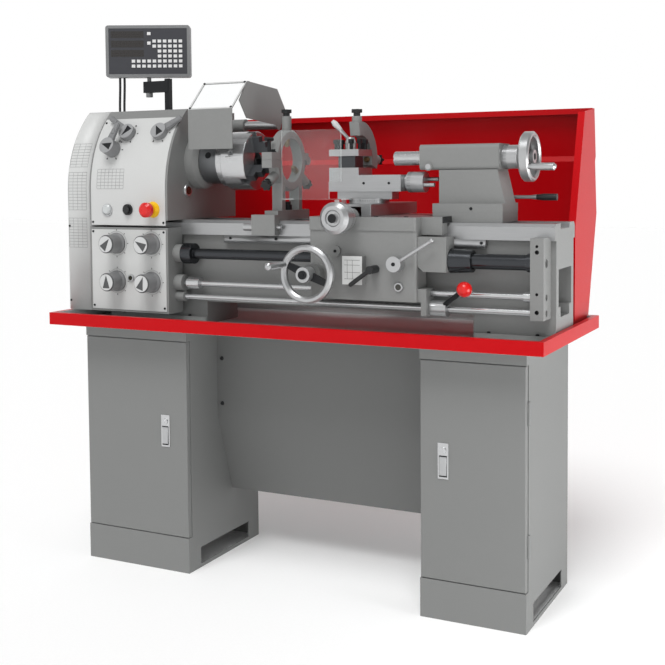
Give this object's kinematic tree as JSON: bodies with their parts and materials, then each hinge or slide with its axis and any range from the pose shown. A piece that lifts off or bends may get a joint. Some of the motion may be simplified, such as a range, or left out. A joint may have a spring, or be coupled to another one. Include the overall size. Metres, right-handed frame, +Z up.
{
  "type": "engine lathe with digital readout",
  "caption": "Manual engine lathe with headstock, chuck guard, carriage, steady rest, tailstock and a swivelling position readout, on a chip tray over door cabinets.",
  "frame": {"origin": "on the floor under the middle of the whole machine's box", "axes": "+X along the bed from headstock to tailstock, +Y to the back, +Z up"},
  "size_m": [1.4, 0.674, 1.516],
  "materials": {
    "machine_paint": "satin enamel",
    "faceplate": "satin",
    "stand_paint": "fine powder coat",
    "panel_paint": "fine powder coat",
    "red_paint": "gloss enamel",
    "ground_steel": "ground",
    "dark_steel": "oiled",
    "bright_steel": "polished",
    "black_plastic": "moulded",
    "grey_plastic": "moulded",
    "red_plastic": "moulded",
    "switch_trim": "moulded",
    "clear": "clear sheet",
    "rubber": "matt",
    "motor_paint": "satin"
  },
  "bodies": {
    "machine": {"cabinets": "stand_paint", "stand_panel": "panel_paint", "chip_tray": "red_paint", "splash_guard": "red_paint", "bed": "machine_paint", "gear_rack": "dark_steel", "headstock_castings": "machine_paint", "end_cover": "machine_paint", "front_panels": "faceplate", "main_motor": "motor_paint", "switch_bezels": "switch_trim", "readout_post": "dark_steel", "readout_cables": "rubber", "lead_covers": "black_plastic", "rod_bracket": "machine_paint", "bed_stop": "machine_paint"},
    "spindle": {"spindle": "ground_steel", "chuck": "ground_steel"},
    "carriage": {"saddle": "machine_paint", "apron": "machine_paint", "lead_cup": "black_plastic", "follow_rest": "machine_paint"},
    "cross_slide": {"cross_slide": "ground_steel", "chip_shield": "clear"},
    "tailstock": {"tailstock_base": "machine_paint", "tailstock_body": "machine_paint"},
    "left_door": {"left_door": "stand_paint"},
    "right_door": {"right_door": "stand_paint"},
    "jaw_1": {"jaw_1": "dark_steel"},
    "jaw_2": {"jaw_2": "dark_steel"},
    "jaw_3": {"jaw_3": "dark_steel"},
    "chuck_guard": {"chuck_guard": "machine_paint"},
    "start_button": {"start_button": "black_plastic"},
    "stop_button": {"stop_button": "red_plastic"},
    "gear_knob_1": {"gear_knob_1": "grey_plastic"},
    "gear_knob_2": {"gear_knob_2": "grey_plastic"},
    "gear_knob_3": {"gear_knob_3": "grey_plastic"},
    "gear_knob_4": {"gear_knob_4": "grey_plastic"},
    "speed_lever_left": {"speed_lever_left": "grey_plastic"},
    "speed_lever_right": {"speed_lever_right": "grey_plastic"},
    "feed_reverse_lever": {"feed_reverse_lever": "grey_plastic"},
    "readout_display": {"readout_display": "grey_plastic"},
    "lead_screw": {"lead_screw": "ground_steel"},
    "feed_rod": {"feed_rod": "ground_steel"},
    "start_rod": {"start_rod": "ground_steel"},
    "carriage_handwheel": {"carriage_handwheel": "bright_steel"},
    "half_nut_lever": {"half_nut_lever": "black_plastic"},
    "feed_lever": {"feed_lever": "bright_steel"},
    "start_lever": {"start_lever": "red_plastic"},
    "cross_dial": {"cross_dial": "bright_steel"},
    "swivel_base": {"swivel_base": "ground_steel"},
    "top_slide": {"top_slide": "ground_steel"},
    "top_slide_dial": {"top_slide_dial": "bright_steel"},
    "tool_post": {"tool_post": "ground_steel"},
    "tool_post_lever": {"tool_post_lever": "bright_steel"},
    "steady_base": {"steady_base": "machine_paint"},
    "steady_top": {"steady_top": "machine_paint"},
    "quill": {"quill": "ground_steel"},
    "tail_handwheel": {"tail_handwheel": "bright_steel"},
    "tail_clamp_lever": {"tail_clamp_lever": "bright_steel"}
  },
  "joints": [
    {"name": "spindle_spin", "type": "hinge", "parent": "machine", "child": "spindle", "pos_m": [-0.258, -0.032, 1.117], "axis": [1, 0, 0], "continuous": true},
    {"name": "jaw_1_slide", "type": "slide", "parent": "spindle", "child": "jaw_1", "axis": [0, -0.2588, 0.9659], "range_m": [-0.012, 0.01]},
    {"name": "jaw_2_slide", "type": "slide", "parent": "spindle", "child": "jaw_2", "axis": [0, -0.7071, -0.7071], "range_m": [-0.012, 0.01]},
    {"name": "jaw_3_slide", "type": "slide", "parent": "spindle", "child": "jaw_3", "axis": [0, 0.9659, -0.2588], "range_m": [-0.012, 0.01]},
    {"name": "guard_hinge", "type": "hinge", "parent": "machine", "child": "chuck_guard", "pos_m": [-0.25, 0.115, 1.22], "axis": [-1, 0, 0], "range_deg": [0, 95]},
    {"name": "speed_left_turn", "type": "hinge", "parent": "machine", "child": "speed_lever_left", "pos_m": [-0.511, -0.1472, 1.195], "axis": [0, -0.8512, 0.5249], "range_deg": [-60, 20]},
    {"name": "speed_right_turn", "type": "hinge", "parent": "machine", "child": "speed_lever_right", "pos_m": [-0.404, -0.1472, 1.195], "axis": [0, -0.8512, 0.5249], "range_deg": [-20, 60]},
    {"name": "feed_reverse_turn", "type": "hinge", "parent": "machine", "child": "feed_reverse_lever", "pos_m": [-0.547, -0.16958, 1.151], "axis": [0, -0.9255, 0.3787], "range_deg": [-15, 45]},
    {"name": "gear_knob_1_turn", "type": "hinge", "parent": "machine", "child": "gear_knob_1", "pos_m": [-0.525, -0.217, 0.894], "axis": [0, -1, 0], "continuous": true},
    {"name": "gear_knob_2_turn", "type": "hinge", "parent": "machine", "child": "gear_knob_2", "pos_m": [-0.409, -0.217, 0.894], "axis": [0, -1, 0], "continuous": true},
    {"name": "gear_knob_3_turn", "type": "hinge", "parent": "machine", "child": "gear_knob_3", "pos_m": [-0.525, -0.217, 0.79], "axis": [0, -1, 0], "continuous": true},
    {"name": "gear_knob_4_turn", "type": "hinge", "parent": "machine", "child": "gear_knob_4", "pos_m": [-0.409, -0.217, 0.79], "axis": [0, -1, 0], "continuous": true},
    {"name": "start_press", "type": "slide", "parent": "machine", "child": "start_button", "axis": [0, 1, 0], "range_m": [0, 0.004], "stiffness_N_per_m": 500, "springref_m": -0.004},
    {"name": "stop_press", "type": "slide", "parent": "machine", "child": "stop_button", "axis": [0, 1, 0], "range_m": [0, 0.005]},
    {"name": "readout_swivel", "type": "hinge", "parent": "machine", "child": "readout_display", "pos_m": [-0.567, 0.03, 1.34], "axis": [0, 0, 1], "range_deg": [-25, 25], "deforming": ["readout_cables"]},
    {"name": "left_door_hinge", "type": "hinge", "parent": "machine", "child": "left_door", "pos_m": [-0.6375, -0.1745, 0.36], "axis": [0, 0, -1], "range_deg": [0, 105]},
    {"name": "right_door_hinge", "type": "hinge", "parent": "machine", "child": "right_door", "pos_m": [0.6375, -0.1745, 0.36], "axis": [0, 0, 1], "range_deg": [0, 105]},
    {"name": "carriage_slide", "type": "slide", "parent": "machine", "child": "carriage", "axis": [1, 0, 0], "range_m": [-0.1, 0.012]},
    {"name": "handwheel_turn", "type": "hinge", "parent": "carriage", "child": "carriage_handwheel", "pos_m": [0.094, -0.232, 0.832], "axis": [0, -1, 0], "range_deg": [-180, 1450]},
    {"name": "cross_dial_turn", "type": "hinge", "parent": "carriage", "child": "cross_dial", "pos_m": [0.182, -0.232, 0.972], "axis": [0, 1, 0], "range_deg": [-4050, 360]},
    {"name": "cross_slide_travel", "type": "slide", "parent": "carriage", "child": "cross_slide", "axis": [0, 1, 0], "range_m": [-0.045, 0.004]},
    {"name": "top_slide_swivel", "type": "hinge", "parent": "cross_slide", "child": "swivel_base", "pos_m": [0.176, -0.05, 1.003], "axis": [0, 0, 1], "range_deg": [-8, 12]},
    {"name": "top_slide_travel", "type": "slide", "parent": "swivel_base", "child": "top_slide", "axis": [1, 0, 0], "range_m": [-0.02, 0.012]},
    {"name": "top_slide_dial_turn", "type": "hinge", "parent": "top_slide", "child": "top_slide_dial", "pos_m": [0.3, -0.05, 1.057], "axis": [1, 0, 0], "range_deg": [-3600, 2160]},
    {"name": "tool_post_turn", "type": "hinge", "parent": "top_slide", "child": "tool_post", "pos_m": [0.124, -0.05, 1.1], "axis": [0, 0, 1], "range_deg": [0, 90]},
    {"name": "tool_post_lever_turn", "type": "hinge", "parent": "tool_post", "child": "tool_post_lever", "pos_m": [0.124, -0.05, 1.16], "axis": [0, 0, 1], "range_deg": [-30, 45]},
    {"name": "half_nut_turn", "type": "hinge", "parent": "carriage", "child": "half_nut_lever", "pos_m": [0.258, -0.212, 0.846], "axis": [0, -1, 0], "range_deg": [-40, 10]},
    {"name": "feed_lever_turn", "type": "hinge", "parent": "carriage", "child": "feed_lever", "pos_m": [0.316, -0.202, 0.861], "axis": [0, -1, 0], "range_deg": [-25, 25]},
    {"name": "start_lever_turn", "type": "hinge", "parent": "carriage", "child": "start_lever", "pos_m": [0.407, -0.147, 0.751], "axis": [1, 0, 0], "range_deg": [-15, 15]},
    {"name": "start_rod_turn", "type": "hinge", "parent": "machine", "child": "start_rod", "pos_m": [0, -0.147, 0.751], "axis": [1, 0, 0], "range_deg": [-15, 15]},
    {"name": "lead_screw_turn", "type": "hinge", "parent": "machine", "child": "lead_screw", "pos_m": [0, -0.147, 0.868], "axis": [1, 0, 0], "continuous": true},
    {"name": "feed_rod_turn", "type": "hinge", "parent": "machine", "child": "feed_rod", "pos_m": [0, -0.147, 0.788], "axis": [1, 0, 0], "continuous": true},
    {"name": "steady_slide", "type": "slide", "parent": "machine", "child": "steady_base", "axis": [1, 0, 0], "range_m": [-0.015, 0.06]},
    {"name": "steady_top_hinge", "type": "hinge", "parent": "steady_base", "child": "steady_top", "pos_m": [-0.075, 0.064, 1.117], "axis": [-1, 0, 0], "range_deg": [0, 100]},
    {"name": "tailstock_slide", "type": "slide", "parent": "machine", "child": "tailstock", "axis": [1, 0, 0], "range_m": [0, 0.1]},
    {"name": "tail_handwheel_turn", "type": "hinge", "parent": "tailstock", "child": "tail_handwheel", "pos_m": [0.56, -0.032, 1.117], "axis": [1, 0, 0], "range_deg": [-2160, 2520]},
    {"name": "quill_travel", "type": "slide", "parent": "tailstock", "child": "quill", "axis": [1, 0, 0], "range_m": [-0.03, 0.035]},
    {"name": "tail_clamp_turn", "type": "hinge", "parent": "tailstock", "child": "tail_clamp_lever", "pos_m": [0.52, 0.018, 1.018], "axis": [0, -1, 0], "range_deg": [-15, 18]}
  ],
  "couplings": [
    {"joint": "jaw_2_slide", "follows": "jaw_1_slide", "ratio": 1},
    {"joint": "jaw_3_slide", "follows": "jaw_1_slide", "ratio": 1},
    {"joint": "handwheel_turn", "follows": "carriage_slide", "rad_per_m": -251.33},
    {"joint": "cross_dial_turn", "follows": "cross_slide_travel", "rad_per_m": 1570.8},
    {"joint": "top_slide_dial_turn", "follows": "top_slide_travel", "rad_per_m": 3141.6},
    {"joint": "start_rod_turn", "follows": "start_lever_turn", "ratio": 1},
    {"joint": "tail_handwheel_turn", "follows": "quill_travel", "rad_per_m": 1256.6}
  ]
}
